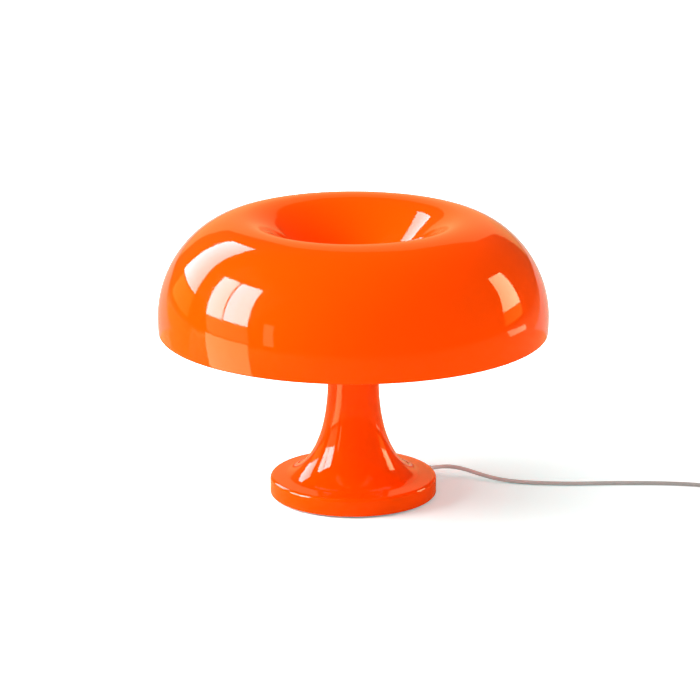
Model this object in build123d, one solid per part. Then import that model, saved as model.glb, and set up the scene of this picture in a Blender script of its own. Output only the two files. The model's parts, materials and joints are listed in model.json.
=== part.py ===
from build123d import *
import os
from math import cos, dist, pi, radians, sin, sqrt, tan

# A table lamp: a body with a trumpet foot carries a domed shade that turns down
# into a funnel. Millimetres, Z up, origin on the table under the middle of the
# foot, X to the viewer's right and Y away from the viewer.

# ---- fits ----
RUNNING = 0.06           # radial play of a turning or screwed fit
SEATED = 0.3             # gap beside a piece that is held elsewhere
HOLE_PLAY = 0.3          # radial play of a clearance hole

# ---- feet, cover plate and its screws ----
FOOT_RADIUS = 7.0
FOOT_HEIGHT = 2.2
FOOT_EDGE = 0.6
FOOT_INSET = 13.8        # from the foot's inner wall to the middle of a rubber foot
FOOT_COUNT = 4
PLATE_THICKNESS = 2.0
PLATE_EDGE_GAP = 0.5
PLATE_SCREW_RADIUS = 2.0
PLATE_SCREW_HEAD = 3.8
PLATE_SCREW_SINK = 1.7
PLATE_SCREW_BITE = 6.0
PLATE_SCREW_INSET = 13.8 # from the foot's inner wall to a screw's middle

# ---- body: foot disc, flare and stem in one moulding ----
BODY_WALL = 3.0
BODY_LIFT = 1.2          # shadow gap between the table and the foot's wall
BASE_RADIUS = 68.8
BASE_RIM_HEIGHT = 16.0
BASE_EDGE = 3.2
BASE_TOE = 0.8
BASE_CROWN = 0.8         # rise of the disc's top from its edge to the flare
FLARE_RADIUS = 57.0
FLARE_OUT = 9.0          # reach of the flare curve's handle along the disc
FLARE_DOWN = 69.0        # reach of its other handle down from the straight stem
STEM_RADIUS = 21.1
STRAIGHT_FROM = 100.0
STEM_TOP = 146.0
STEM_FLANGE = 4.0

# ---- ballast and tie rod ----
BALLAST_GAP = 4.8        # between the ballast and the foot's wall
BALLAST_THICKNESS = 7.0
HUB_RADIUS = 13.0
HUB_HEIGHT = 5.0
BOSS_RADIUS = 6.0
POCKET_DEPTH = 4.0
ROD_RADIUS = 5.0
ROD_POINT = 0.6
NUT_ACROSS = 17.0
NUT_THICKNESS = 4.0
WASHER_RADIUS = 10.5
WASHER_THICKNESS = 1.5

# ---- wiring in the foot, along the line of the cord's exit ----
CORD_RADIUS = 1.7
EXIT_ANGLE = 30.0        # from X towards Y
EXIT_HEIGHT = 8.6
BAY_WIDTH = 22.0         # bay in the ballast for the wiring
BUSH_NECK = 3.2
BUSH_COLLAR = 4.2
BUSH_COLLAR_THICKNESS = 1.5
BUSH_INSIDE = 12.0
BUSH_OUTSIDE = 6.6
BUSH_TIP = 2.5
CLAMP_INSET = 18.8       # from the foot's inner wall to the clamp's middle
CLAMP_LENGTH = 6.0
CLAMP_WIDTH = 19.0
CLAMP_COVER = 1.8
CLAMP_SCREW_RADIUS = 1.5
CLAMP_HEAD_RADIUS = 2.7
CLAMP_HEAD_HEIGHT = 0.7
CLAMP_SCREW_SPACING = 12.0
BLOCK_GAP = 2.0          # between the terminal block and the clamp
BLOCK_WIDTH = 18.0
BLOCK_HEIGHT = 9.0
BLOCK_SCREW_RADIUS = 1.8
BLOCK_SCREW_LENGTH = 4.0
STEM_LEAD_RADIUS = 1.8
STEM_LEAD_OFFSET = 15.5
STEM_LEAD_BEND = 7.5
STEM_LEAD_RUN = 1.0      # between the terminal block and the bend
STEM_LEAD_RISE = 2.0     # above the stem, inside the cluster

# ---- lamp cluster on top of the stem ----
CLUSTER_RADIUS = 20.8
CLUSTER_WALL = 3.0
CLUSTER_HEIGHT = 17.0
CLUSTER_WEB = 3.0
NUT_RECESS_RADIUS = 13.0
NUT_RECESS_DEPTH = 4.5
ARM_COUNT = 4
ARM_START_ANGLE = 45.0
ARM_TILT = 15.0
ARM_RISE = 4.0           # height of the arms' common point above the stem
ARM_BOSS_RADIUS = 6.5
ARM_BOSS_START = 14.0
ARM_BOSS_END = 24.0
NIPPLE_RADIUS = 4.0
NIPPLE_BORE = 2.6
NIPPLE_START = 17.0
NIPPLE_BITE = 8.0
NIPPLE_NUT_ACROSS = 13.0
NIPPLE_NUT_THICKNESS = 3.0

# ---- lampholders and bulbs, measured along their arm ----
HOLDER_START = 36.0
HOLDER_LENGTH = 32.0
HOLDER_RADIUS = 13.0
HOLDER_BACK_RADIUS = 9.0
HOLDER_TAPER = 6.0
HOLDER_EDGE = 1.0
SOCKET_DEPTH = 18.0
CONTACT_RADIUS = 4.5
CONTACT_THICKNESS = 1.0
CAP_RADIUS = 6.93
CAP_WALL = 0.5
CAP_PROUD = 2.0          # length of cap that shows outside the holder
TIP_RADIUS = 2.4
TIP_LENGTH = 1.7
CONE_LENGTH = 3.0
GLASS_RADIUS = 22.5
GLASS_WALL = 1.0
GLASS_NECK_LENGTH = 6.0
GLASS_REACH = 32.0       # from the cap's edge to the middle of the ball
GLASS_JOIN_ANGLE = 40.0  # where the ball takes over from the shoulder, below its middle
GLASS_SHOULDER = 8.0     # reach of the shoulder curve's handles

# ---- shade, heights from the face that it sits on ----
SEAT_RING_THICKNESS = 1.5
SEAT_RING_RADIUS = 20.4
SHADE_WALL = 3.0
SHADE_FLOOR = 3.5
SHADE_RADIUS = 160.0
RIM_DROP = 24.7
RIM_DRAW_IN = 0.4
WIDEST_DROP = 12.6
CREST_RADIUS = 91.3
CREST_RISE = 69.3
THROAT_RADIUS = 21.0
THROAT_RISE = 20.0       # from the seat up to where throat and funnel meet
SIDE_HANDLE = 45.4       # reaches of the handles of the dome's side and lip curves
CROWN_HANDLE = 33.7
LIP_HANDLE = 32.3
THROAT_HANDLE = 7.9
HANDLE_SHARE = 0.55      # how much the side's handles shorten for each millimetre of wall
RIM_ROUND = 1.0

# ---- retaining knob ----
KNOB_RADIUS = 12.0
KNOB_HEIGHT = 14.0
KNOB_DOME = 5.0
KNOB_BORE_DEPTH = 11.5
KNOB_GROOVE_COUNT = 12
KNOB_GROOVE_RADIUS = 1.1
ROD_IN_KNOB = 10.5

# ---- cord on the table ----
TABLE_GAP = 0.05
EXIT_RUN = 13.0          # first straight run out of the bush
ENTRY_RUN = 15.0         # straight run into or out of the switch
TAIL_RUN = 12.0          # straight runs out of the coil and into the plug
RELIEF_RUN = 13.0

# ---- switch in the cord, its length lying along Y ----
SWITCH_X = 314.0
SWITCH_START = -46.0
SWITCH_LENGTH = 60.0
SWITCH_WIDTH = 24.0
SWITCH_LOWER = 7.5
SWITCH_UPPER = 8.5
SWITCH_WALL = 2.0
SWITCH_EDGE = 1.6
SPOUT_LENGTH = 4.0
SPOUT_RADIUS = 3.6
POST_SPACING = 34.0
POST_RADIUS = 3.6
SWITCH_SCREW_RADIUS = 1.4
SWITCH_SCREW_HEAD = 2.5
SWITCH_HEAD_DEPTH = 1.6
SWITCH_SCREW_LENGTH = 10.0
CONTACT_BLOCK = (4.0, 10.0, 4.0)
CONTACT_SPACING = 10.0
ROCKER_WIDTH = 12.0
ROCKER_LENGTH = 20.0
ROCKER_PAD = 5.6         # heights of the rocker's ends, its dip and its skirt from the pivot
ROCKER_DIP = 4.0
ROCKER_SKIRT = 3.0
ROCKER_TILT = 8.0
ROCKER_GAP = 0.4
PIVOT_DEPTH = 4.5
PIVOT_RADIUS = 1.5
PIVOT_REACH = 1.8
EAR_THICKNESS = 2.0
EAR_WIDTH = 7.0

# ---- put-away coil ----
COIL_CENTRE = (355.0, -105.0)
COIL_MIDDLE_RADIUS = 19.0
COIL_LAYER_COUNT = 4
COIL_STEP_COUNT = 5           # half turns inwards or outwards on each layer
COIL_LAST_STEP_COUNT = 4
COIL_SPACING = 4.5         # from turn to turn and from layer to layer

# ---- two-pin plug, lying along Y ----
PLUG_X = 369.0
PLUG_START = -47.0
RELIEF_LENGTH = 22.0
RELIEF_RADIUS = 4.6
RELIEF_TIP = 2.6
PLUG_LENGTH = 35.0
PLUG_WIDTH = 35.0
PLUG_NOSE_WIDTH = 27.0
PLUG_BACK_WIDTH = 14.0
PLUG_SHOULDER = 11.0     # length over which the back widens
PLUG_FLANK = 7.0         # length at full width
PLUG_THICKNESS = 13.8
PLUG_CORNER = 3.0
PLUG_EDGE = 2.0
PIN_RADIUS = 2.0
PIN_LENGTH = 19.0
PIN_SPACING = 18.6
PIN_ROOT = 8.0
PIN_ROOT_RADIUS = 1.5
PIN_TIP = 1.0

# ---- heights and lengths that follow from the sizes above ----
plate_top = FOOT_HEIGHT + PLATE_THICKNESS
base_ceiling = BASE_RIM_HEIGHT - BODY_WALL
base_inner_radius = BASE_RADIUS - BODY_WALL
foot_circle = base_inner_radius - FOOT_INSET
plate_screw_circle = base_inner_radius - PLATE_SCREW_INSET
ballast_radius = base_inner_radius - BALLAST_GAP
clamp_at = base_inner_radius - CLAMP_INSET
block_start = STEM_LEAD_OFFSET + STEM_LEAD_BEND + STEM_LEAD_RUN
block_length = clamp_at - CLAMP_LENGTH / 2 - BLOCK_GAP - block_start
block_at = block_start + block_length / 2
ballast_bottom = base_ceiling - BALLAST_THICKNESS
hub_height = BALLAST_THICKNESS + HUB_HEIGHT
pocket_top = ballast_bottom + POCKET_DEPTH
washer_bottom = pocket_top - WASHER_THICKNESS
nut_bottom = washer_bottom - NUT_THICKNESS
cluster_top = STEM_TOP + CLUSTER_HEIGHT
recess_bottom = cluster_top - NUT_RECESS_DEPTH
web_bottom = recess_bottom - CLUSTER_WEB
arm_origin = STEM_TOP + ARM_RISE
holder_end = HOLDER_START + HOLDER_LENGTH
socket_bottom = holder_end - SOCKET_DEPTH
cap_start = socket_bottom + CONTACT_THICKNESS + SEATED
cap_end = holder_end + CAP_PROUD
shade_seat = cluster_top + SEAT_RING_THICKNESS
knob_seat = shade_seat + SHADE_FLOOR
knob_bottom = knob_seat + WASHER_THICKNESS
rod_top = knob_bottom + ROD_IN_KNOB
clamp_top = EXIT_HEIGHT + CORD_RADIUS + CLAMP_COVER
bush_tip = BASE_RADIUS + BUSH_OUTSIDE
cord_level = CORD_RADIUS + TABLE_GAP
switch_end = SWITCH_START - SWITCH_LENGTH
switch_middle = (SWITCH_START + switch_end) / 2
switch_top = SWITCH_LOWER + SWITCH_UPPER
pivot_height = switch_top - PIVOT_DEPTH
tilt = radians(ROCKER_TILT)
rocker_sweep = ROCKER_LENGTH * cos(tilt) + 2 * ROCKER_PAD * sin(tilt)
plug_axis = PLUG_THICKNESS / 2
coil_outer = COIL_MIDDLE_RADIUS + COIL_STEP_COUNT * COIL_SPACING / 4
coil_end_radius = coil_outer - (COIL_STEP_COUNT - COIL_LAST_STEP_COUNT) * COIL_SPACING / 2
coil_top = cord_level + (COIL_LAYER_COUNT - 1) * COIL_SPACING

STANDING = (Align.CENTER, Align.CENTER, Align.MIN)


# ---- shared shapes ----
def disc(radius, height, z=0.0):
    """Plain cylinder standing at height z."""
    return Pos(0, 0, z) * Cylinder(radius, height, align=STANDING)


def ring(outer, inner, height, z=0.0):
    """Flat ring standing at height z."""
    return disc(outer, height, z) - disc(inner, height, z)


def block(length, width, height, z=0.0):
    """Plain box standing at height z."""
    return Pos(0, 0, z) * Box(length, width, height, align=STANDING)


def hexagon(across, height, z=0.0):
    """Hexagonal prism standing at height z."""
    return extrude(Pos(0, 0, z) * RegularPolygon(across / 2, 6, major_radius=False), height)


def turned(outline):
    """Solid of revolution about Z of a closed outline drawn as radius and height."""
    return revolve(Plane.XZ * make_face(outline), Axis.Z)


def around(count, radius, start):
    """Places evenly spaced round the axis, each turned to its angle."""
    return [Rot(0, 0, start + 360 * k / count) * Pos(radius, 0, 0) for k in range(count)]


def group(places, piece):
    """The same piece at several places, as separate solids of one node."""
    return Compound(children=[place * piece for place in places])


def drilled(body, places, tool):
    """The body with the same tool cut out at several places."""
    for place in places:
        body -= place * tool
    return body


def tube(path, radius):
    """Round bar of one radius along a path."""
    section = Plane(origin=path @ 0, z_dir=path % 0) * Circle(radius)
    return sweep(section, path=path)


exit_frame = Rot(0, 0, EXIT_ANGLE)
exit_axis = exit_frame * Pos(0, 0, EXIT_HEIGHT) * Rot(0, 90, 0)
foot_places = around(FOOT_COUNT, foot_circle, EXIT_ANGLE)
screw_places = around(FOOT_COUNT, plate_screw_circle, EXIT_ANGLE + 180 / FOOT_COUNT)
clamp_places = [exit_frame * Pos(clamp_at, side * CLAMP_SCREW_SPACING / 2, 0) for side in (-1, 1)]
terminal_places = [
    exit_frame * Pos(block_at + end * block_length / 4, pole * BLOCK_WIDTH / 4, 0)
    for pole in (-1, 1)
    for end in (-1, 1)
]
lead_place = exit_frame * Pos(STEM_LEAD_OFFSET, 0, 0)
arm_places = [
    Rot(0, 0, ARM_START_ANGLE + 360 * k / ARM_COUNT) * Pos(0, 0, arm_origin) * Rot(0, 90 - ARM_TILT, 0)
    for k in range(ARM_COUNT)
]


# ---- body ----
def flare_curve(wall):
    """Curve from the disc's top up to the straight stem, moved in by a wall."""
    slope = BASE_CROWN / (BASE_RADIUS - BASE_EDGE - FLARE_RADIUS)
    radius = FLARE_RADIUS - wall
    height = base_ceiling if wall else BASE_RIM_HEIGHT + BASE_CROWN
    return Bezier(
        (radius, height),
        (radius - FLARE_OUT, height + FLARE_OUT * slope),
        (STEM_RADIUS - wall, STRAIGHT_FROM - FLARE_DOWN - wall),
        (STEM_RADIUS - wall, STRAIGHT_FROM),
    )


def make_body_shell():
    curve = flare_curve(0)
    outside = turned(
        Polyline((0, STEM_TOP), (0, BODY_LIFT), (BASE_RADIUS - BASE_TOE, BODY_LIFT))
        + CenterArc((BASE_RADIUS - BASE_TOE, BODY_LIFT + BASE_TOE), BASE_TOE, -90, 90)
        + Line((BASE_RADIUS, BODY_LIFT + BASE_TOE), (BASE_RADIUS, BASE_RIM_HEIGHT - BASE_EDGE))
        + CenterArc((BASE_RADIUS - BASE_EDGE, BASE_RIM_HEIGHT - BASE_EDGE), BASE_EDGE, 0, 90)
        + Line((BASE_RADIUS - BASE_EDGE, BASE_RIM_HEIGHT), curve @ 0)
        + curve
        + Polyline(curve @ 1, (STEM_RADIUS, STEM_TOP), (0, STEM_TOP))
    )
    curve = flare_curve(BODY_WALL)
    roof = STEM_TOP - STEM_FLANGE
    inside = turned(
        Polyline((0, roof), (0, BODY_LIFT), (base_inner_radius, BODY_LIFT),
                 (base_inner_radius, base_ceiling), curve @ 0)
        + curve
        + Polyline(curve @ 1, (STEM_RADIUS - BODY_WALL, roof), (0, roof))
    )
    body = outside - inside
    body -= disc(ROD_RADIUS + HOLE_PLAY, STEM_FLANGE, roof)
    body -= lead_place * disc(STEM_LEAD_RADIUS + HOLE_PLAY, STEM_FLANGE, roof)
    return body - exit_axis * disc(BUSH_NECK + RUNNING, 3 * BODY_WALL, base_inner_radius - BODY_WALL)


# ---- foot: feet, plate, ballast, rod and its nuts ----
def make_foot():
    return turned(Polyline(
        (0, 0), (FOOT_RADIUS - FOOT_EDGE, 0), (FOOT_RADIUS, FOOT_EDGE), (FOOT_RADIUS, FOOT_HEIGHT),
        (0, FOOT_HEIGHT), (0, 0),
    ))


def plate_screw(play=0.0):
    """Countersunk screw from the plate's lower face up into the ballast."""
    shank = PLATE_SCREW_RADIUS + play
    top = plate_top + PLATE_SCREW_BITE + play
    return turned(Polyline(
        (0, FOOT_HEIGHT), (PLATE_SCREW_HEAD + play, FOOT_HEIGHT), (shank, FOOT_HEIGHT + PLATE_SCREW_SINK),
        (shank, top), (0, top), (0, FOOT_HEIGHT),
    ))


def make_plate():
    plate = disc(base_inner_radius - PLATE_EDGE_GAP, PLATE_THICKNESS, FOOT_HEIGHT)
    plate = drilled(plate, screw_places, plate_screw(RUNNING))
    return drilled(plate, clamp_places, disc(CLAMP_SCREW_RADIUS + RUNNING, PLATE_THICKNESS, FOOT_HEIGHT))


def make_ballast():
    ballast = disc(ballast_radius, BALLAST_THICKNESS, ballast_bottom)
    bay = Pos(ballast_radius / 2, 0, 0) * block(ballast_radius, BAY_WIDTH, hub_height, plate_top)
    ballast -= exit_frame * bay
    ballast += disc(HUB_RADIUS, hub_height, ballast_bottom)
    for place in screw_places:
        ballast += place * disc(BOSS_RADIUS, BALLAST_THICKNESS, plate_top)
    ballast = drilled(ballast, screw_places, plate_screw(RUNNING))
    ballast -= disc(WASHER_RADIUS + SEATED, POCKET_DEPTH, ballast_bottom)
    return ballast - disc(ROD_RADIUS + RUNNING, hub_height, ballast_bottom)


def rod_nut(bottom):
    return hexagon(NUT_ACROSS, NUT_THICKNESS, bottom) - disc(ROD_RADIUS + RUNNING, NUT_THICKNESS, bottom)


def rod_washer(bottom):
    return ring(WASHER_RADIUS, ROD_RADIUS + RUNNING, WASHER_THICKNESS, bottom)


def make_tie_rod():
    rod = disc(ROD_RADIUS, rod_top - nut_bottom, nut_bottom)
    return chamfer(rod.edges().filter_by(GeomType.CIRCLE), ROD_POINT)


# ---- wiring in the foot ----
def make_cord_bush():
    """Tapered strain relief: tail, inner collar, neck in the wall, outer collar, nose."""
    bore = CORD_RADIUS + RUNNING
    inside = base_inner_radius - SEATED
    outside = BASE_RADIUS + SEATED
    return exit_axis * turned(Polyline(
        (bore, inside - BUSH_INSIDE),
        (BUSH_NECK, inside - BUSH_INSIDE),
        (BUSH_NECK, inside - BUSH_COLLAR_THICKNESS),
        (BUSH_COLLAR, inside - BUSH_COLLAR_THICKNESS),
        (BUSH_COLLAR, inside),
        (BUSH_NECK, inside),
        (BUSH_NECK, outside),
        (BUSH_COLLAR, outside),
        (BUSH_COLLAR, outside + BUSH_COLLAR_THICKNESS),
        (BUSH_NECK, outside + BUSH_COLLAR_THICKNESS),
        (BUSH_TIP, bush_tip),
        (bore, bush_tip),
        (bore, inside - BUSH_INSIDE),
    ))


def make_inner_lead():
    start = block_start + block_length
    return exit_axis * disc(CORD_RADIUS, bush_tip - start, start)


def clamp_screw(play=0.0):
    """Pan-headed screw through the clamp into the cover plate."""
    shank = disc(CLAMP_SCREW_RADIUS + play, clamp_top - FOOT_HEIGHT, FOOT_HEIGHT)
    return shank + disc(CLAMP_HEAD_RADIUS + play, CLAMP_HEAD_HEIGHT, clamp_top)


def make_cord_clamp():
    bar = block(CLAMP_LENGTH, CLAMP_WIDTH, clamp_top - plate_top, plate_top)
    bar = exit_frame * Pos(clamp_at, 0, 0) * bar
    bar -= exit_axis * disc(CORD_RADIUS + RUNNING, 2 * CLAMP_LENGTH, clamp_at - CLAMP_LENGTH)
    return drilled(bar, clamp_places, clamp_screw(RUNNING))


def terminal_screw(play=0.0):
    return disc(BLOCK_SCREW_RADIUS + play, BLOCK_SCREW_LENGTH, plate_top + BLOCK_HEIGHT - BLOCK_SCREW_LENGTH)


def make_terminal_block():
    body = exit_frame * Pos(block_at, 0, 0) * block(block_length, BLOCK_WIDTH, BLOCK_HEIGHT, plate_top)
    return drilled(body, terminal_places, terminal_screw(RUNNING))


def make_stem_lead():
    """From the terminal block towards the rod, then up the stem into the cluster."""
    height = plate_top + BLOCK_HEIGHT / 2
    path = FilletPolyline(
        (block_start, 0, height),
        (STEM_LEAD_OFFSET, 0, height),
        (STEM_LEAD_OFFSET, 0, STEM_TOP + STEM_LEAD_RISE),
        radius=STEM_LEAD_BEND,
    )
    return exit_frame * tube(path, STEM_LEAD_RADIUS)


# ---- lamp cluster, holders and bulbs ----
def make_cluster_body():
    body = disc(CLUSTER_RADIUS, CLUSTER_HEIGHT, STEM_TOP)
    boss_length = ARM_BOSS_END - ARM_BOSS_START
    for place in arm_places:
        body += place * disc(ARM_BOSS_RADIUS, boss_length, ARM_BOSS_START)
    body -= disc(CLUSTER_RADIUS - CLUSTER_WALL, web_bottom - STEM_TOP, STEM_TOP)
    body -= disc(NUT_RECESS_RADIUS, NUT_RECESS_DEPTH, recess_bottom)
    body -= disc(ROD_RADIUS + HOLE_PLAY, CLUSTER_HEIGHT, STEM_TOP)
    return drilled(body, arm_places, disc(NIPPLE_RADIUS + RUNNING, boss_length, ARM_BOSS_START))


def make_nipple():
    return ring(NIPPLE_RADIUS, NIPPLE_BORE, HOLDER_START + NIPPLE_BITE - NIPPLE_START, NIPPLE_START)


def make_nipple_nut():
    nut = hexagon(NIPPLE_NUT_ACROSS, NIPPLE_NUT_THICKNESS, ARM_BOSS_END)
    return nut - disc(NIPPLE_RADIUS + RUNNING, NIPPLE_NUT_THICKNESS, ARM_BOSS_END)


def make_lampholder():
    body = turned(Polyline(
        (0, HOLDER_START),
        (HOLDER_BACK_RADIUS, HOLDER_START),
        (HOLDER_RADIUS, HOLDER_START + HOLDER_TAPER),
        (HOLDER_RADIUS, holder_end - HOLDER_EDGE),
        (HOLDER_RADIUS - HOLDER_EDGE, holder_end),
        (0, holder_end),
        (0, HOLDER_START),
    ))
    body -= disc(NIPPLE_RADIUS + RUNNING, NIPPLE_BITE, HOLDER_START)
    return body - disc(CAP_RADIUS + RUNNING, SOCKET_DEPTH, socket_bottom)


def make_bulb_cap():
    """Contact tip, insulating cone and thin screw shell, open towards the glass."""
    cone_start = cap_start + TIP_LENGTH
    shell_start = cone_start + CONE_LENGTH
    cap = turned(Polyline(
        (0, cap_start), (TIP_RADIUS, cap_start), (TIP_RADIUS, cone_start), (CAP_RADIUS, shell_start),
        (CAP_RADIUS, cap_end), (0, cap_end), (0, cap_start),
    ))
    return cap - disc(CAP_RADIUS - CAP_WALL, cap_end - shell_start, shell_start)


def bulb_outline(wall):
    """Neck, shoulder curve and ball of the bulb, drawn in by a wall."""
    neck = CAP_RADIUS - CAP_WALL - RUNNING - wall
    ball = GLASS_RADIUS - wall
    middle = cap_end + GLASS_REACH
    angle = radians(GLASS_JOIN_ANGLE)
    join = (ball * cos(angle), middle - ball * sin(angle))
    bottom = cap_end - GLASS_NECK_LENGTH
    shoulder = Bezier(
        (neck, cap_end),
        (neck, cap_end + GLASS_SHOULDER),
        (join[0] - GLASS_SHOULDER * sin(angle), join[1] - GLASS_SHOULDER * cos(angle)),
        join,
    )
    return (
        Polyline((0, bottom), (neck, bottom), (neck, cap_end))
        + shoulder
        + CenterArc((0, middle), ball, -GLASS_JOIN_ANGLE, 90 + GLASS_JOIN_ANGLE)
        + Line((0, middle + ball), (0, bottom))
    )


def make_bulb_glass():
    return turned(bulb_outline(0)) - turned(bulb_outline(GLASS_WALL))


# ---- shade ----
def dome_curves(wall):
    """Rim, side and lip of the dome, moved in by a wall: upright and level where they join."""
    side = SHADE_RADIUS - wall
    crest = CREST_RISE - wall
    shorter = HANDLE_SHARE * wall
    throat = THROAT_RADIUS + wall
    floor = 0 if wall else SHADE_FLOOR
    rim_radius = side - RIM_DRAW_IN
    rim_curve = Bezier((rim_radius, -RIM_DROP), (side, (-RIM_DROP - WIDEST_DROP) / 2), (side, -WIDEST_DROP))
    side_curve = Bezier(
        (side, -WIDEST_DROP),
        (side, SIDE_HANDLE - shorter - WIDEST_DROP),
        (CREST_RADIUS + CROWN_HANDLE - shorter, crest),
        (CREST_RADIUS, crest),
    )
    lip_curve = Bezier(
        (CREST_RADIUS, crest),
        (CREST_RADIUS - LIP_HANDLE, crest),
        (throat, floor + THROAT_HANDLE),
        (throat, floor),
    )
    return rim_curve, side_curve, lip_curve


outer_rim, outer_side, outer_lip = dome_curves(0)
inner_rim, inner_side, inner_lip = dome_curves(SHADE_WALL)


def make_shade_dome():
    """Outer part of the shade's moulding, from the rim up to the crest."""
    dome = turned(
        outer_rim + outer_side + Line(outer_side @ 1, inner_side @ 1)
        + inner_side + inner_rim + Line(inner_rim @ 0, outer_rim @ 0)
    )
    rim_edges = dome.edges().filter_by(GeomType.CIRCLE).group_by(Axis.Z)[0]
    return Pos(0, 0, shade_seat) * fillet(rim_edges, RIM_ROUND)


def make_shade_middle():
    """Inner part of the same moulding: the funnel, and its throat with the drilled floor."""
    hole = ROD_RADIUS + HOLE_PLAY
    middle = turned(
        outer_lip + Polyline(outer_lip @ 1, (hole, SHADE_FLOOR), (hole, 0), inner_lip @ 1)
        + inner_lip + Line(inner_lip @ 0, outer_lip @ 0)
    )
    lower = disc(SHADE_RADIUS, THROAT_RISE)
    return Pos(0, 0, shade_seat) * (middle - lower), Pos(0, 0, shade_seat) * (middle & lower)


def make_seat_ring():
    return ring(SEAT_RING_RADIUS, NUT_RECESS_RADIUS, SEAT_RING_THICKNESS, cluster_top)


def make_knob():
    """Domed cap nut with finger grooves and a blind threaded hole."""
    side = KNOB_HEIGHT - KNOB_DOME
    dome_radius = (KNOB_RADIUS ** 2 + KNOB_DOME ** 2) / (2 * KNOB_DOME)
    shoulder = (KNOB_HEIGHT - dome_radius) + sqrt(dome_radius ** 2 - KNOB_RADIUS ** 2 / 4)
    knob = turned(
        Polyline((0, KNOB_HEIGHT), (0, 0), (KNOB_RADIUS, 0), (KNOB_RADIUS, side))
        + ThreePointArc((KNOB_RADIUS, side), (KNOB_RADIUS / 2, shoulder), (0, KNOB_HEIGHT))
    )
    knob = drilled(knob, around(KNOB_GROOVE_COUNT, KNOB_RADIUS, 0), disc(KNOB_GROOVE_RADIUS, KNOB_HEIGHT))
    return Pos(0, 0, knob_bottom) * (knob - disc(ROD_RADIUS + RUNNING, KNOB_BORE_DEPTH))


# ---- switch in the cord ----
switch_place = Pos(SWITCH_X, switch_middle, 0)
post_places = [Pos(0, side * POST_SPACING / 2, 0) for side in (-1, 1)]


def switch_form(inset):
    """Long rounded block, its ends half round, drawn in by an inset on every side."""
    length = SWITCH_LENGTH - 2 * SPOUT_LENGTH - 2 * inset
    outline = Pos(0, 0, inset) * SlotOverall(length, SWITCH_WIDTH - 2 * inset, rotation=90)
    return extrude(outline, switch_top - 2 * inset)


def make_switch_halves():
    """Lower and upper housing, split at the level of the cord."""
    outside = switch_form(0)
    outside = fillet(outside.edges().group_by(Axis.Z)[0] + outside.edges().group_by(Axis.Z)[-1], SWITCH_EDGE)
    spout = Pos(0, 0, SWITCH_LOWER) * Rot(90, 0, 0) * Cylinder(SPOUT_RADIUS, SWITCH_LENGTH)
    housing = (outside + spout) - switch_form(SWITCH_WALL)
    for place in post_places:
        housing += place * disc(POST_RADIUS, switch_top - 2 * SWITCH_WALL, SWITCH_WALL)
    pivot = Pos(0, 0, pivot_height) * Rot(0, 90, 0)
    ear_at = ROCKER_WIDTH / 2 + ROCKER_GAP + EAR_THICKNESS / 2
    ear_bottom = pivot_height - EAR_WIDTH / 2
    for side in (-1, 1):
        ear = block(EAR_THICKNESS, EAR_WIDTH, switch_top - SWITCH_WALL - ear_bottom, ear_bottom)
        housing += Pos(side * ear_at, 0, 0) * ear
    housing -= pivot * Cylinder(PIVOT_RADIUS + RUNNING, ROCKER_WIDTH + 2 * PIVOT_REACH + 2 * SEATED)
    window = block(ROCKER_WIDTH + 2 * ROCKER_GAP, rocker_sweep + 2 * ROCKER_GAP, switch_top, SWITCH_LOWER)
    housing -= window
    housing = drilled(housing, post_places, switch_screw(RUNNING))
    half = block(2 * SWITCH_WIDTH, 2 * SWITCH_LENGTH, SWITCH_LOWER)
    return switch_place * (housing & half), switch_place * (housing - half)


def switch_screw(play=0.0):
    """Screw from below, its head sunk in the lower housing."""
    head = disc(SWITCH_SCREW_HEAD + play, SWITCH_HEAD_DEPTH)
    return head + disc(SWITCH_SCREW_RADIUS + play, SWITCH_SCREW_LENGTH + play)


def make_rocker():
    """Dished rocker on a cross pin, resting with its far end pressed down."""
    half = ROCKER_LENGTH / 2
    profile = Polyline(
        (-half, -ROCKER_SKIRT), (half, -ROCKER_SKIRT), (half, ROCKER_PAD),
        (0, ROCKER_DIP), (-half, ROCKER_PAD), (-half, -ROCKER_SKIRT),
    )
    body = extrude(Plane.YZ * make_face(profile), ROCKER_WIDTH / 2, both=True)
    body += Rot(0, 90, 0) * Cylinder(PIVOT_RADIUS, ROCKER_WIDTH + 2 * PIVOT_REACH)
    return switch_place * Pos(0, 0, pivot_height) * Rot(ROCKER_TILT, 0, 0) * body


def make_switch_contacts():
    places = [switch_place * Pos(side * CONTACT_SPACING / 2, 0, 0) for side in (-1, 1)]
    return group(places, block(*CONTACT_BLOCK, SWITCH_WALL))


# ---- plug ----
plug_place = Pos(PLUG_X, PLUG_START, 0)
pin_places = [
    Pos(side * PIN_SPACING / 2, RELIEF_LENGTH + PLUG_LENGTH - PIN_ROOT, plug_axis) * Rot(-90, 0, 0)
    for side in (-1, 1)
]


def make_plug_body():
    start = RELIEF_LENGTH
    end = start + PLUG_LENGTH
    right = [
        (PLUG_BACK_WIDTH / 2, start),
        (PLUG_WIDTH / 2, start + PLUG_SHOULDER),
        (PLUG_WIDTH / 2, start + PLUG_SHOULDER + PLUG_FLANK),
        (PLUG_NOSE_WIDTH / 2, end),
    ]
    left = [(-x, y) for x, y in reversed(right)]
    body = extrude(make_face(Polyline(*right, *left, right[0])), PLUG_THICKNESS)
    body = fillet(body.edges().filter_by(Axis.Z), PLUG_CORNER)
    body = fillet(body.edges().group_by(Axis.Z)[0] + body.edges().group_by(Axis.Z)[-1], PLUG_EDGE)
    relief = Pos(0, start / 2, plug_axis) * Rot(-90, 0, 0) * Cone(RELIEF_TIP, RELIEF_RADIUS, RELIEF_LENGTH)
    body += relief
    return plug_place * drilled(body, pin_places, disc(PIN_ROOT_RADIUS + RUNNING, PIN_ROOT))


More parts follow.
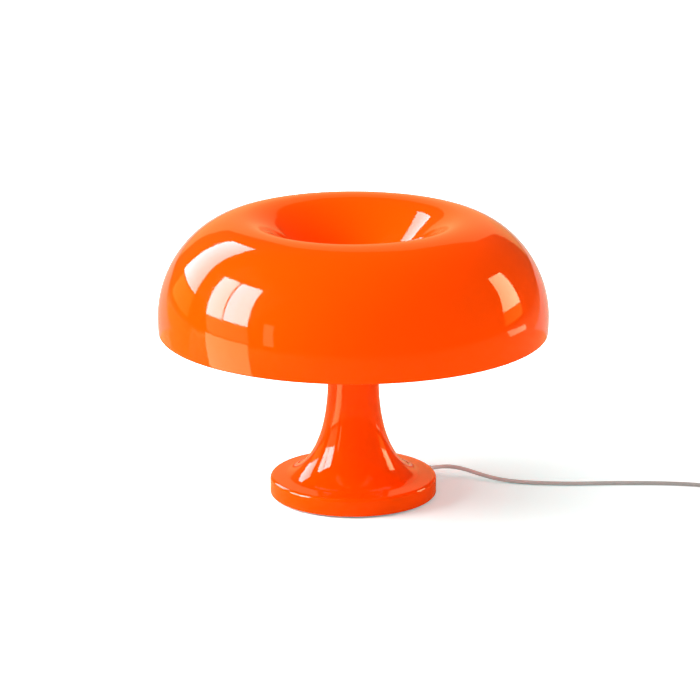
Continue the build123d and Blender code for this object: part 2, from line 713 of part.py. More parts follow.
def make_pin():
    pin = disc(PIN_RADIUS, PIN_LENGTH, PIN_ROOT)
    return chamfer(pin.edges().group_by(Axis.Z)[-1], PIN_TIP) + disc(PIN_ROOT_RADIUS, PIN_ROOT)


# ---- cord ----
def from_exit(distance):
    """Point on the line of the cord's exit, this far from the lamp's axis."""
    angle = radians(EXIT_ANGLE)
    return (distance * cos(angle), distance * sin(angle), EXIT_HEIGHT)


lamp_route = [
    from_exit(bush_tip),
    from_exit(bush_tip + EXIT_RUN),
    (92, 41.5, 7.8),
    (108, 34.5, 5.0),
    (124, 27, 2.6),
    (141, 21, cord_level),
    (160, 17.5, cord_level),
    (185, 16.2, cord_level),
    (215, 18, cord_level),
    (247, 18.2, cord_level),
    (276, 16, cord_level),
    (298, 10.5, cord_level),
    (311, -6, cord_level + 1.2),
    (SWITCH_X, SWITCH_START + ENTRY_RUN, SWITCH_LOWER),
    (SWITCH_X, SWITCH_START, SWITCH_LOWER),
]
coil_start = (COIL_CENTRE[0] + coil_outer, COIL_CENTRE[1] - 2 * CORD_RADIUS, cord_level)
link_route = [
    (SWITCH_X, switch_end, SWITCH_LOWER),
    (SWITCH_X, switch_end - ENTRY_RUN, SWITCH_LOWER),
    (317, -138, 3.2),
    (330, -151.5, cord_level),
    (350, -156, cord_level),
    (369, -148, cord_level),
    (coil_start[0], -128.5, cord_level),
    coil_start,
]
coil_finish = (COIL_CENTRE[0] + coil_end_radius, COIL_CENTRE[1] + 2 * CORD_RADIUS, coil_top)
tail_route = [
    coil_finish,
    (coil_finish[0], coil_finish[1] + TAIL_RUN, coil_finish[2]),
    (374, -74, 10.6),
    (PLUG_X, PLUG_START - RELIEF_RUN, plug_axis),
    (PLUG_X, PLUG_START, plug_axis),
]


def corner_radii(route):
    """Each corner's arc takes 0.45 of its shorter run from the corner."""
    radii = []
    points = [Vector(*point) for point in route]
    for before, corner, after in zip(points, points[1:], points[2:]):
        arriving, leaving = corner - before, after - corner
        turn = radians(arriving.get_angle(leaving))
        radii.append(0.45 * min(arriving.length, leaving.length) / tan(turn / 2))
    return radii


def make_stretch(name, route):
    radii = corner_radii(route)
    path = FilletPolyline(*route, radius=radii)
    stretch = tube(path, CORD_RADIUS)
    whole = pi * CORD_RADIUS ** 2 * path.length
    print(f"{name}: length {path.length:.1f}, radii {[round(r) for r in radii]}, "
          f"volume / (section x length) {stretch.volume / whole:.4f}")
    return stretch, path.length


def coil_spots():
    """Where the coil's line crosses the X axis: radius with its side's sign, and height."""
    reach, side, height = coil_outer, 1, cord_level
    spots = [(reach, height)]
    for layer in range(COIL_LAYER_COUNT):
        last = layer == COIL_LAYER_COUNT - 1
        inward = -1 if layer % 2 == 0 else 1
        for _ in range(COIL_LAST_STEP_COUNT if last else COIL_STEP_COUNT):
            reach += inward * COIL_SPACING / 2
            side = -side
            spots.append((side * reach, height))
        if not last:
            height += COIL_SPACING
            side = -side
            spots.append((side * reach, height))
    return spots


def coil_path():
    """Half turns between the spots, each of two tangent arcs, with a straight run at each end."""
    spots = coil_spots()
    lead = 2 * CORD_RADIUS
    edges = [Line((spots[0][0], -lead, spots[0][1]), (spots[0][0], 0, spots[0][1]))]
    ahead = 1
    for (x1, z1), (x2, z2) in zip(spots, spots[1:]):
        bulge = ahead * dist((x1, z1), (x2, z2)) / 2
        middle = ((x1 + x2) / 2, bulge, (z1 + z2) / 2)
        first = TangentArc((x1, 0, z1), middle, tangent=(0, ahead, 0))
        edges += [first, TangentArc(middle, (x2, 0, z2), tangent=first % 1)]
        ahead = -ahead
    x, z = spots[-1]
    edges.append(Line((x, 0, z), (x, lead, z)))
    return Wire(edges)


def least_gap(path, radius):
    """Smallest clear distance between stretches of a tube that aren't neighbours."""
    step = radius
    count = int(path.length / step)
    points = [tuple(path @ (k / count)) for k in range(count + 1)]
    apart = int(pi * radius * 2 / step)
    least = min(
        dist(points[i], points[j])
        for i in range(count + 1)
        for j in range(i + apart, count + 1)
    )
    return least - 2 * radius


def make_coil():
    path = coil_path()
    coil = Pos(*COIL_CENTRE, 0) * tube(path, CORD_RADIUS)
    whole = pi * CORD_RADIUS ** 2 * path.length
    print(f"coil: length {path.length:.1f}, least gap {least_gap(path, CORD_RADIUS):.2f}, "
          f"inner radius {coil_outer - COIL_STEP_COUNT * COIL_SPACING / 2:.1f}, "
          f"volume / (section x length) {coil.volume / whole:.4f}")
    return coil, path.length


# ---- the nodes ----
parts = {
    "body_shell": make_body_shell(),
    "rubber_feet": group(foot_places, make_foot()),
    "bottom_plate": make_plate(),
    "plate_screws": group(screw_places, plate_screw()),
    "ballast": make_ballast(),
    "tie_rod": make_tie_rod(),
    "rod_washer": rod_washer(washer_bottom),
    "rod_nut": rod_nut(nut_bottom),
    "cord_bush": make_cord_bush(),
    "inner_lead": make_inner_lead(),
    "cord_clamp": make_cord_clamp(),
    "clamp_screws": group(clamp_places, clamp_screw()),
    "terminal_block": make_terminal_block(),
    "terminal_screws": group(terminal_places, terminal_screw()),
    "stem_lead": make_stem_lead(),
    "cluster_body": make_cluster_body(),
    "cluster_nut": rod_nut(recess_bottom),
    "holder_nipples": group(arm_places, make_nipple()),
    "nipple_nuts": group(arm_places, make_nipple_nut()),
    "holder_contacts": group(arm_places, disc(CONTACT_RADIUS, CONTACT_THICKNESS, socket_bottom)),
    "seat_ring": make_seat_ring(),
    "shade_dome": make_shade_dome(),
    "knob_washer": rod_washer(knob_seat),
    "retaining_knob": make_knob(),
    "switch_rocker": make_rocker(),
    "switch_screws": group([switch_place * place for place in post_places], switch_screw()),
    "switch_contacts": make_switch_contacts(),
    "plug_body": make_plug_body(),
    "plug_pins": group([plug_place * place for place in pin_places], make_pin()),
}
parts["shade_funnel"], parts["shade_throat"] = make_shade_middle()
parts["switch_base"], parts["switch_cover"] = make_switch_halves()
for number, arm in enumerate(arm_places, 1):
    parts[f"lampholder_{number}"] = arm * make_lampholder()
    parts[f"bulb_cap_{number}"] = arm * make_bulb_cap()
    parts[f"bulb_glass_{number}"] = arm * make_bulb_glass()

cord_length = SWITCH_LENGTH
for name, route in (("cord_run", lamp_route), ("cord_link", link_route), ("cord_tail", tail_route)):
    parts[name], length = make_stretch(name, route)
    cord_length += length
parts["cord_coil"], length = make_coil()
cord_length += length
print(f"cord from the bush to the plug: {cord_length:.0f}")

os.makedirs("parts", exist_ok=True)
for name, piece in parts.items():
    export_step(piece, f"parts/{name}.step")
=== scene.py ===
import bpy
import bmesh
import json
import numpy as np
from math import cos, pi, radians, sin
from mathutils import Matrix, Vector


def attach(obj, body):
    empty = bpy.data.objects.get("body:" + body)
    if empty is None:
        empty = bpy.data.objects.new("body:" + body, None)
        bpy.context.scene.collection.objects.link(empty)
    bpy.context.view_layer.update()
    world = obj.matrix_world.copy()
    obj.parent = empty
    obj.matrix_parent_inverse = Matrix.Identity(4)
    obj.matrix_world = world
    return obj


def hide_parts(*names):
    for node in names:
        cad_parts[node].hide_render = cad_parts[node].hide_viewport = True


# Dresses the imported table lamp: smooth turned surfaces, threads and grooves,
# one free cord, procedural materials, soft window light and a pale floor.
# Outlines are in millimetres, as radius and height. Objects and places are in metres,
# with the lamp's axis upright through the origin and the floor at height 0.

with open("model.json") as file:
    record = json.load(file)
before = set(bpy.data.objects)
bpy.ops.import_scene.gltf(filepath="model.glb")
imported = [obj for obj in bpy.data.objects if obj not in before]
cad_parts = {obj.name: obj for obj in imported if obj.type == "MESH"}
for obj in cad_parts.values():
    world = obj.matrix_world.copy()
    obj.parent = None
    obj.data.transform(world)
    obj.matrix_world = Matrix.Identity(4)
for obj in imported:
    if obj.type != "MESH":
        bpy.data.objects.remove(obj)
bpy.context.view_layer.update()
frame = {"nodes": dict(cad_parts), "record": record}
nodes = frame["nodes"]
frame_slots = {entry["node"]: entry["material_slot"] for entry in frame["record"]["subparts"]}
MM = 0.001


# ---- curves of an outline ----
def bezier(*corners, steps):
    """Points of a Bezier curve: its corners weighted by Bernstein's polynomials,
    found by repeated blending."""
    share = np.linspace(0, 1, steps + 1)[:, None]
    points = [np.array([corner], float).repeat(steps + 1, axis=0) for corner in corners]
    while len(points) > 1:
        points = [a * (1 - share) + b * share for a, b in zip(points, points[1:])]
    return [tuple(point) for point in points[0]]


def arc(centre, radius, start, end, steps=6):
    """Points of a circular arc between two angles in degrees."""
    angles = np.radians(np.linspace(start, end, steps + 1))
    return [(centre[0] + radius * cos(a), centre[1] + radius * sin(a)) for a in angles]


def straight(start, end, steps):
    """Points at even distances along a straight line."""
    return bezier(start, end, steps=steps)


def rounded(points, radius, steps=4):
    """The outline with each sharp corner turned into a small curve that touches both sides."""
    points = [np.array(point, float) for point in points]
    result = [tuple(points[0])]
    for before, corner, after in zip(points, points[1:], points[2:]):
        back, ahead = before - corner, after - corner
        back_length, ahead_length = np.linalg.norm(back), np.linalg.norm(ahead)
        reach = min(radius, 0.45 * back_length, 0.45 * ahead_length)
        first = corner + back / back_length * reach
        last = corner + ahead / ahead_length * reach
        result += bezier(tuple(first), tuple(corner), tuple(last), steps=steps)
    result.append(tuple(points[-1]))
    return result


# ---- surfaces ----
SAME_POINT = 1e-6       # metres: points as near as this are one
SLIVER = 1e-7           # metres: edges shorter than this go
ONE_PLANE = 0.5         # degrees: faces of a CAD copy that turn less than this are one face
EDGE = 30               # degrees: edges of a CAD copy that turn more than this are eased


def merged(mesh, crease):
    """Joins the points that meet, turns the faces outwards and marks as sharp the edges
    that turn more than the crease, in degrees."""
    work = bmesh.new()
    work.from_mesh(mesh)
    bmesh.ops.remove_doubles(work, verts=work.verts, dist=SAME_POINT)
    bmesh.ops.dissolve_degenerate(work, edges=work.edges, dist=SLIVER)
    bmesh.ops.recalc_face_normals(work, faces=work.faces)
    limit = radians(crease)
    for edge in work.edges:
        edge.smooth = len(edge.link_faces) == 2 and edge.calc_face_angle(0) < limit
    work.to_mesh(mesh)
    work.free()


def dressed(name, mesh, material, body, replaces):
    """Object of a finished mesh, with its material, that rides on its body and stands for
    its CAD nodes."""
    piece = bpy.data.objects.new(name, mesh)
    bpy.context.scene.collection.objects.link(piece)
    mesh.materials.clear()
    mesh.materials.append(material)
    mesh.polygons.foreach_set("material_index", np.zeros(len(mesh.polygons), int))
    mesh.polygons.foreach_set("use_smooth", np.ones(len(mesh.polygons), bool))
    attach(piece, body)
    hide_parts(*replaces)
    return piece


def lathed(outline, around, reshape=None):
    """Points and faces of a surface of revolution, in millimetres.
    Point (i, j) is (r cos a, r sin a, h): r and h are the outline's radius and height at i,
    and a is 2 pi j / around. A reshape gives new r and h from a, r and h."""
    outline = np.array(outline, float)
    angle = np.linspace(0, 2 * pi, around, endpoint=False)[None, :]
    radius = outline[:, :1].repeat(around, axis=1)
    height = outline[:, 1:].repeat(around, axis=1)
    if reshape:
        radius, height = reshape(angle, radius, height)
    points = np.stack([radius * np.cos(angle), radius * np.sin(angle), height], axis=2)
    index = np.arange(radius.size).reshape(radius.shape)
    low, high = index[:-1], index[1:]
    faces = np.stack([low, np.roll(low, -1, axis=1), np.roll(high, -1, axis=1), high], axis=2)
    return points.reshape(-1, 3), faces.reshape(-1, 4)


def turned(
    name, outline, material, body, replaces, around, crease, places=(Matrix(),), reshape=None,
):
    """One piece of a surface of revolution, repeated at each of its places."""
    points, faces = lathed(outline, around, reshape)
    all_points, all_faces = [], []
    for count, place in enumerate(places):
        turn = np.array(place.to_3x3())
        shift = np.array(place.translation)
        all_points.append(points * MM @ turn.T + shift)
        all_faces.append(faces + count * len(points))
    mesh = bpy.data.meshes.new(name)
    mesh.from_pydata(
        np.concatenate(all_points).tolist(), [], np.concatenate(all_faces).tolist(),
    )
    merged(mesh, crease)
    dressed(name, mesh, material, body, replaces)


def eased(node, material, width, body="base"):
    """Copy of a CAD node whose edges are eased by a narrow bevel, in millimetres."""
    source = nodes[node]
    mesh = source.data.copy()
    mesh.transform(source.matrix_world)
    merged(mesh, EDGE)
    work = bmesh.new()
    work.from_mesh(mesh)
    bmesh.ops.dissolve_limit(
        work, angle_limit=radians(ONE_PLANE), verts=work.verts, edges=work.edges,
    )
    work.to_mesh(mesh)
    work.free()
    piece = dressed(node + "_eased", mesh, material, body, (node,))
    bevel = piece.modifiers.new("eased edges", "BEVEL")
    bevel.width = width * MM
    bevel.segments = 2
    bevel.limit_method = "ANGLE"
    bevel.angle_limit = radians(EDGE)
    bevel.use_clamp_overlap = True
    bevel.harden_normals = True


# ---- materials ----
def blank(name):
    """New material with its tree, its principled shader and the object's own coordinates."""
    material = bpy.data.materials.new(name)
    material.use_nodes = True
    tree = material.node_tree
    shader = tree.nodes["Principled BSDF"]
    place = tree.nodes.new("ShaderNodeTexCoord").outputs["Object"]
    return material, tree, shader, place


def noise(tree, place, scale, detail, rough=0.5, stretch=None):
    """Noise with this many grains to a metre, stretched along an axis if asked."""
    if stretch:
        mapping = tree.nodes.new("ShaderNodeMapping")
        mapping.inputs["Scale"].default_value = stretch
        tree.links.new(place, mapping.inputs["Vector"])
        place = mapping.outputs["Vector"]
    texture = tree.nodes.new("ShaderNodeTexNoise")
    texture.inputs["Scale"].default_value = scale
    texture.inputs["Detail"].default_value = detail
    texture.inputs["Roughness"].default_value = rough
    tree.links.new(place, texture.inputs["Vector"])
    return texture.outputs["Fac"]


def spread(tree, value, low, high, start=0.3, end=0.7):
    """A value between start and end, spread evenly over low to high. Most of a noise lies
    between 0.3 and 0.7."""
    node = tree.nodes.new("ShaderNodeMapRange")
    node.inputs["From Min"].default_value = start
    node.inputs["From Max"].default_value = end
    node.inputs["To Min"].default_value = low
    node.inputs["To Max"].default_value = high
    tree.links.new(value, node.inputs["Value"])
    return node.outputs["Result"]


MIX_FIRST, MIX_SECOND, MIX_RESULT = 6, 7, 2     # the mix node's sockets that hold colours


def blended(tree, share, first, second):
    """Colour between two others; each is a colour or the output of a node."""
    node = tree.nodes.new("ShaderNodeMix")
    node.data_type = "RGBA"
    tree.links.new(share, node.inputs["Factor"])
    for number, colour in ((MIX_FIRST, first), (MIX_SECOND, second)):
        socket = node.inputs[number]
        if isinstance(colour, tuple):
            socket.default_value = (*colour, 1)
        else:
            tree.links.new(colour, socket)
    return node.outputs[MIX_RESULT]


def combined(tree, operation, first, second):
    """Sum, product or other operation on two values, each a number or the output of a node."""
    node = tree.nodes.new("ShaderNodeMath")
    node.operation = operation
    for socket, value in zip(node.inputs, (first, second)):
        if isinstance(value, (int, float)):
            socket.default_value = value
        else:
            tree.links.new(value, socket)
    return node.outputs[0]


def raised(tree, shader, height, depth):
    """Bump of a height pattern, its full range this many millimetres deep."""
    bump = tree.nodes.new("ShaderNodeBump")
    bump.inputs["Distance"].default_value = depth * MM
    bump.inputs["Strength"].default_value = 1.0
    tree.links.new(height, bump.inputs["Height"])
    tree.links.new(bump.outputs["Normal"], shader.inputs["Normal"])


def milky(shader, weight, reach):
    """Light that spreads under the surface, its reach in metres for red, green and blue."""
    shader.inputs["Subsurface Weight"].default_value = weight
    shader.inputs["Subsurface Radius"].default_value = reach
    shader.inputs["Subsurface Scale"].default_value = 1.0


def lacquer(name, colour, deeper, roughness):
    """Glossy coloured moulding: faint flow in the colour, long soft waves, fine hairlines,
    and scuffs on the lowest 7 mm."""
    material, tree, shader, place = blank(name)
    flow = spread(tree, noise(tree, place, scale=9, detail=3), 0, 1)
    tree.links.new(blended(tree, flow, colour, deeper), shader.inputs["Base Color"])
    haze = spread(tree, noise(tree, place, scale=26, detail=5), roughness, roughness + 0.035)
    streaks = noise(tree, place, scale=70, detail=3, stretch=(1, 1, 14))
    hairline = spread(tree, streaks, 0, 0.05, start=0.62, end=0.7)
    height = tree.nodes.new("ShaderNodeSeparateXYZ")
    tree.links.new(place, height.inputs["Vector"])
    low_down = spread(tree, height.outputs["Z"], 1, 0, start=0.001, end=0.007)
    rubbing = noise(tree, place, scale=300, detail=5)
    scratches = spread(tree, rubbing, 0, 0.3, start=0.45, end=0.65)
    scuffs = combined(tree, "MULTIPLY", low_down, scratches)
    total = combined(tree, "ADD", combined(tree, "ADD", haze, hairline), scuffs)
    tree.links.new(total, shader.inputs["Roughness"])
    shader.inputs["IOR"].default_value = 1.38
    shader.inputs["Specular Tint"].default_value = (1.0, 0.75, 0.38, 1.0)
    raised(tree, shader, noise(tree, place, scale=30, detail=2), depth=0.012)
    return material


def moulded(name, colour, deeper, roughness, grain, depth, subsurface=0.0):
    """Moulded plastic or rubber: cloudy colour, fine spark texture, and patches that
    handling has polished."""
    material, tree, shader, place = blank(name)
    cloud = spread(tree, noise(tree, place, scale=40, detail=4), 0, 1)
    tree.links.new(blended(tree, cloud, colour, deeper), shader.inputs["Base Color"])
    handled = noise(tree, place, scale=75, detail=4)
    polish = spread(tree, handled, roughness - 0.07, roughness + 0.08)
    tree.links.new(polish, shader.inputs["Roughness"])
    shader.inputs["IOR"].default_value = 1.48
    if subsurface:
        milky(shader, subsurface, (0.002, 0.0017, 0.0014))
    raised(tree, shader, noise(tree, place, scale=grain, detail=3), depth)
    return material


def metal(name, colour, deeper, roughness, stretch, depth=0.01, worn=0.12):
    """Bare metal: tool marks along its stretch, and dull stains that roughen and darken it."""
    material, tree, shader, place = blank(name)
    blots = noise(tree, place, scale=90, detail=6, rough=0.6)
    stain = spread(tree, blots, 0, 1, start=0.42, end=0.68)
    tree.links.new(blended(tree, stain, colour, deeper), shader.inputs["Base Color"])
    shader.inputs["Metallic"].default_value = 1.0
    marks = noise(tree, place, scale=500, detail=3, stretch=stretch)
    dull = combined(tree, "MULTIPLY", stain, worn)
    tooled = spread(tree, marks, roughness - 0.05, roughness + 0.07)
    tree.links.new(combined(tree, "ADD", tooled, dull), shader.inputs["Roughness"])
    raised(tree, shader, marks, depth)
    return material


def cast(name, colour, rusty):
    """Sand-cast and painted iron: pitted skin with rust where the paint is thin."""
    material, tree, shader, place = blank(name)
    patches = noise(tree, place, scale=120, detail=8, rough=0.65)
    rust = spread(tree, patches, 0, 1, start=0.55, end=0.62)
    tree.links.new(blended(tree, rust, colour, rusty), shader.inputs["Base Color"])
    tree.links.new(spread(tree, rust, 0.5, 0.85, start=0, end=1), shader.inputs["Roughness"])
    shader.inputs["Metallic"].default_value = 0.3
    raised(tree, shader, noise(tree, place, scale=420, detail=6, rough=0.6), depth=0.18)
    return material


def opal(name, colour, deeper):
    """White bulb glass: milky inside, glossy outside, with faint cords of the blown glass."""
    material, tree, shader, place = blank(name)
    milk = spread(tree, noise(tree, place, scale=24, detail=3), 0, 1)
    tree.links.new(blended(tree, milk, colour, deeper), shader.inputs["Base Color"])
    haze = spread(tree, noise(tree, place, scale=50, detail=4), 0.06, 0.14)
    tree.links.new(haze, shader.inputs["Roughness"])
    shader.inputs["IOR"].default_value = 1.5
    milky(shader, 0.5, (0.006, 0.0055, 0.005))
    cords = noise(tree, place, scale=45, detail=2, stretch=(1, 1, 3))
    raised(tree, shader, cords, depth=0.02)
    return material


orange_lacquer = lacquer(
    "orange lacquer", (1.0, 0.062, 0.0), (0.98, 0.058, 0.0), roughness=0.03,
)
red_lacquer = lacquer(
    "red knob plastic", (0.78, 0.022, 0.002), (0.72, 0.019, 0.002), roughness=0.09,
)
white_plastic = moulded(
    "white holder plastic", (0.86, 0.845, 0.8), (0.8, 0.78, 0.72),
    roughness=0.34, grain=700, depth=0.015, subsurface=0.1,
)
white_enamel = moulded(
    "white enamel", (0.85, 0.85, 0.82), (0.8, 0.795, 0.76),
    roughness=0.27, grain=260, depth=0.03,
)
grey_plastic = moulded(
    "grey switch plastic", (0.45, 0.415, 0.39), (0.41, 0.375, 0.35),
    roughness=0.4, grain=1100, depth=0.03,
)
grey_sheath = moulded(
    "grey cord sheath", (0.62, 0.6, 0.575), (0.57, 0.55, 0.525),
    roughness=0.44, grain=1400, depth=0.02,
)
black_rubber = moulded(
    "black rubber", (0.022, 0.021, 0.02), (0.035, 0.033, 0.03),
    roughness=0.62, grain=1300, depth=0.05,
)
dark_paint = moulded(
    "dark plate paint", (0.02, 0.02, 0.021), (0.03, 0.029, 0.028),
    roughness=0.46, grain=600, depth=0.04,
)
steel = metal(
    "zinc plated steel", (0.62, 0.61, 0.58), (0.42, 0.4, 0.37),
    roughness=0.26, stretch=(1, 1, 6),
)
iron = cast("cast iron", (0.05, 0.05, 0.052), (0.16, 0.065, 0.03))
brass = metal(
    "brass", (0.8, 0.56, 0.24), (0.52, 0.32, 0.12),
    roughness=0.24, stretch=(6, 1, 1),
)
aluminium = metal(
    "cap aluminium", (0.84, 0.84, 0.83), (0.66, 0.66, 0.64),
    roughness=0.2, stretch=(1, 1, 4),
)
plated = metal(
    "nickel plated pins", (0.78, 0.76, 0.72), (0.62, 0.6, 0.55),
    roughness=0.12, stretch=(1, 8, 1), depth=0.004, worn=0.06,
)
bulb_glass = opal("opal bulb glass", (0.93, 0.92, 0.88), (0.88, 0.865, 0.82))

finish_of = {
    "orange_shell": orange_lacquer, "red_knob": red_lacquer, "white_plastic": white_plastic,
    "white_metal": white_enamel, "grey_plastic": grey_plastic, "grey_cord": grey_sheath,
    "black_rubber": black_rubber, "dark_steel": dark_paint, "steel": steel, "cast_iron": iron,
    "brass": brass, "cap_aluminium": aluminium, "plated_pins": plated, "bulb_glass": bulb_glass,
}
for node, slot in frame_slots.items():
    if node in nodes:
        for own in nodes[node].material_slots:
            own.material = finish_of[slot]

# ---- shade ----
ROD_HOLE = 5.3
RIM, BULGE = 140.8, 151.9           # heights of the rim's rounding and of the widest circle
SEAT, FLOOR = 164.5, 168.0          # heights of the funnel's floor, below and above
SHADE_OUT, SHADE_IN = 160, 157      # radii of the widest circle, outside and inside
FUNNEL_IN, FUNNEL_OUT = 21, 24      # radii of the funnel's foot, above and below its floor
CREST, UNDER_CREST = (91.3, 233.8), (91.3, 230.8)
outer_wall = (
    arc((158.6, RIM), 1.0, -90, 0)
    + bezier((159.6, RIM), (SHADE_OUT, 145.9), (SHADE_OUT, BULGE), steps=6)[1:]
    + bezier((SHADE_OUT, BULGE), (SHADE_OUT, 197.3), (125, 233.8), CREST, steps=96)[1:]
    + bezier(CREST, (59, 233.8), (FUNNEL_IN, 175.9), (FUNNEL_IN, FLOOR), steps=110)[1:]
)
inner_wall = (
    bezier((FUNNEL_OUT, SEAT), (FUNNEL_OUT, 172.4), (59, 230.8), UNDER_CREST, steps=70)
    + bezier(UNDER_CREST, (123.35, 230.8), (SHADE_IN, 195.65), (SHADE_IN, BULGE), steps=64)[1:]
    + bezier((SHADE_IN, BULGE), (SHADE_IN, 145.9), (156.6, RIM), steps=6)[1:]
    + arc((157.6, RIM), 1.0, 180, 270)[1:]
)
floor_hole = rounded(
    [(FUNNEL_IN, FLOOR), (ROD_HOLE, FLOOR), (ROD_HOLE, SEAT), (FUNNEL_OUT, SEAT)], 0.4,
)
turned(
    "shade_moulding", outer_wall + floor_hole[1:-1] + inner_wall + outer_wall[:1],
    orange_lacquer, "shade", ["shade_dome", "shade_funnel", "shade_throat"],
    around=256, crease=50,
)

# ---- body: disc, flare and stem ----
STEM_OUT, STEM_IN = 21.1, 18.1
STEM_TOP, STEM_START = 146, 100     # heights of its flat top and of the end of its flare
DISC_LOW, DISC_CEILING = 1.2, 13    # heights of the disc's lower edge and of its inside
STEM_CEILING, DISC_BORE = 142, 65.8
flare = bezier((57, 16.8), (48, 17.5), (STEM_OUT, 31), (STEM_OUT, STEM_START), steps=120)
inner_flare = bezier(
    (54, DISC_CEILING), (45, 13.7), (STEM_IN, 28), (STEM_IN, STEM_START), steps=60,
)
body_outline = (
    [(DISC_BORE, DISC_LOW), (68.0, DISC_LOW)]
    + arc((68.0, 2.0), 0.8, -90, 0)
    + arc((65.6, 12.8), 3.2, 0, 90, steps=16)
    + flare
    + straight((STEM_OUT, STEM_START), (STEM_OUT, 145.5), 12)[1:]
    + rounded([(STEM_OUT, 145.5), (STEM_OUT, STEM_TOP), (ROD_HOLE, STEM_TOP)], 0.5)[1:]
    + [(ROD_HOLE, STEM_CEILING), (STEM_IN, STEM_CEILING)]
    + inner_flare[::-1]
    + [(DISC_BORE, DISC_CEILING), (DISC_BORE, DISC_LOW)]
)
turned(
    "body_moulding", body_outline, orange_lacquer, "base", ["body_shell"],
    around=256, crease=50,
)

# ---- knob ----
KNOB_RADIUS, KNOB_BORE = 12, 5.06
KNOB_SOLE, KNOB_CEILING = 169.5, 181    # heights of its underside and of its blind hole's end
GROOVES, GROOVE_RADIUS = 12, 1.1


def fluted(angle, radius, height):
    """Radius cut back by twelve round grooves. Within 1.1 mm of a groove's middle it is at
    most 12 less the root of 1.1 squared less s squared, where s is the distance from that
    middle along the knob's 12 mm side."""
    pitch = 2 * pi / GROOVES
    sideways = KNOB_RADIUS * (np.mod(angle + pitch / 2, pitch) - pitch / 2)
    groove = KNOB_RADIUS - np.sqrt(np.maximum(GROOVE_RADIUS ** 2 - sideways ** 2, 0))
    in_groove = np.abs(sideways) < GROOVE_RADIUS
    return np.where(in_groove, np.minimum(radius, groove), radius), height


knob_outline = (
    [(0, KNOB_CEILING), (KNOB_BORE, KNOB_CEILING), (KNOB_BORE, KNOB_SOLE), (11.6, KNOB_SOLE)]
    + straight((KNOB_RADIUS, 169.9), (KNOB_RADIUS, 178.0), 6)
    + bezier((KNOB_RADIUS, 178.0), (KNOB_RADIUS, 178.7), (11.4, 179.1), steps=5)[1:]
    + arc((0, 166.6), 16.9, 47.6, 90, steps=28)
)
turned(
    "knob_cap", knob_outline, red_lacquer, "knob", ["retaining_knob"],
    around=288, reshape=fluted, crease=40,
)

# ---- cord bush: turned about its own axis, which leaves the disc level ----
EXIT_TURN, EXIT_HEIGHT = 30, 0.0086
exit_frame = Matrix.Rotation(radians(EXIT_TURN), 4, "Z")
exit_frame = exit_frame @ Matrix.Translation((0, 0, EXIT_HEIGHT))
exit_frame = exit_frame @ Matrix.Rotation(radians(90), 4, "Y")
BUSH_BORE, BUSH_RADIUS, FLANGE = 1.9, 3.2, 4.2
flexes = []
for start in (70.9, 72.3, 73.7):
    outer = BUSH_RADIUS - 0.7 * (start - 70.3) / 5.1
    flexes += [
        (outer, start), (outer - 0.55, start + 0.15), (outer - 0.6, start + 0.6),
        (outer - 0.12, start + 0.75),
    ]
bush_outline = rounded(
    [(BUSH_BORE, 53.5), (BUSH_RADIUS, 53.5), (BUSH_RADIUS, 64.0), (FLANGE, 64.0), (FLANGE, 65.5),
     (BUSH_RADIUS, 65.5), (BUSH_RADIUS, 69.1), (FLANGE, 69.1), (FLANGE, 70.4), (3.22, 70.45)]
    + flexes + [(2.5, 75.3), (1.72, 75.4), (1.72, 53.6), (BUSH_BORE, 53.5)], 0.22, 3,
)
turned(
    "cord_bush_flexes", bush_outline, grey_sheath, "base", ["cord_bush"],
    places=(exit_frame,), around=72, crease=60,
)

# ---- lampholders and bulbs, turned about their arms, which start on the lamp's axis ----
ARM_TURNS, ARM_TILT, ARM_HEIGHT = (45, 135, 225, 315), 75, 0.15
RIBS, RIB_DEPTH = 36, 0.45
THREAD_PITCH, THREAD_DEPTH = 2.8, 0.75
HOLDER_RADIUS, HOLDER_BORE, NIPPLE_HOLE = 13, 7.0, 4.06
CAP_RADIUS, NECK_RADIUS = 6.93, 6.42
arms = []
for turn in ARM_TURNS:
    arm = Matrix.Rotation(radians(turn), 4, "Z") @ Matrix.Translation((0, 0, ARM_HEIGHT))
    arms.append(arm @ Matrix.Rotation(radians(ARM_TILT), 4, "Y"))


def ribbed(angle, radius, height):
    """Radius less 0.45 mm times the square of (1 - cos 36 a) / 2, which leaves 36 ribs, on
    the holder's straight side only."""
    side = (radius > 12.5) & (height > 44.5) & (height < 63.5)
    valley = (0.5 - 0.5 * np.cos(RIBS * angle)) ** 2
    return np.where(side, radius - RIB_DEPTH * valley, radius), height


def threaded(angle, radius, height):
    """Screw thread of 2.8 mm pitch: radius less 0.75 mm times (1 - cos(2 pi h / 2.8 - a)) / 2,
    a wave that climbs one pitch in a turn and fades out over 0.8 mm at both ends."""
    wave = THREAD_DEPTH * (0.5 - 0.5 * np.cos(2 * pi * height / THREAD_PITCH - angle))
    ends = np.clip((height - 56.3) / 0.8, 0, 1) * np.clip((69.2 - height) / 0.8, 0, 1)
    return np.where(radius > 6.6, radius - wave * ends, radius), height


